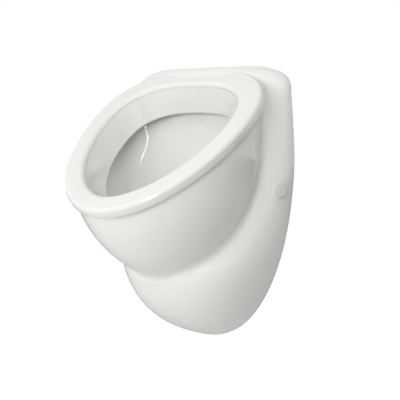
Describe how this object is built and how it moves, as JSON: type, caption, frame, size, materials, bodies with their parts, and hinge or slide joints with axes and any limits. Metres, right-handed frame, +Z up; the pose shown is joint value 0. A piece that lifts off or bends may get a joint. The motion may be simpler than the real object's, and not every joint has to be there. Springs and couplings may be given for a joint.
{
  "type": "wall hung urinal",
  "caption": "Wall hung ceramic urinal with a tilted oval bowl and a rounded trap cover, complete with inlet, waste, strainer, trap and side fixings.",
  "frame": {"origin": "centre of the water inlet on the finished wall, where the casting's back face lies", "axes": "+Z up, -Y out of the wall towards the user, +X to the user's right"},
  "size_m": [0.3638, 0.3667, 0.5034],
  "materials": {
    "ceramic": "gloss",
    "rubber": "matt",
    "chrome_tube": "polished",
    "chrome_part": "polished",
    "white_plastic": "satin",
    "nylon": "matt",
    "cap_plastic": "satin",
    "zinc_steel": "zinc plated"
  },
  "bodies": {
    "urinal": {"ceramic_body": "ceramic", "inlet_connector": "rubber", "inlet_pipe": "chrome_tube", "waste_seal_top": "rubber", "waste_flange": "chrome_part", "waste_screw": "chrome_part", "waste_seal_low": "rubber", "waste_body": "white_plastic", "trap_inlet_seal": "rubber", "trap_inlet_nut": "white_plastic", "trap_body": "white_plastic", "trap_outlet_ring": "rubber", "trap_outlet_nut": "white_plastic", "outlet_bend": "white_plastic", "wall_sleeve": "rubber", "fixing_bush_right": "nylon", "fixing_washer_right": "zinc_steel", "fixing_screw_right": "zinc_steel", "fixing_nut_right": "zinc_steel", "wall_bracket_right": "zinc_steel", "fixing_bush_left": "nylon", "fixing_washer_left": "zinc_steel", "fixing_screw_left": "zinc_steel", "fixing_nut_left": "zinc_steel", "wall_bracket_left": "zinc_steel"},
    "strainer": {"strainer": "chrome_part"},
    "cap_right": {"cover_cap_right": "cap_plastic"},
    "cap_left": {"cover_cap_left": "cap_plastic"}
  },
  "joints": [
    {"name": "strainer_lift", "type": "slide", "parent": "urinal", "child": "strainer", "axis": [0, 0, 1], "range_m": [0, 0.04]},
    {"name": "cap_right_pull", "type": "slide", "parent": "urinal", "child": "cap_right", "axis": [0.866, -0.5, 0], "range_m": [0, 0.02]},
    {"name": "cap_left_pull", "type": "slide", "parent": "urinal", "child": "cap_left", "axis": [-0.866, -0.5, 0], "range_m": [0, 0.02]}
  ]
}
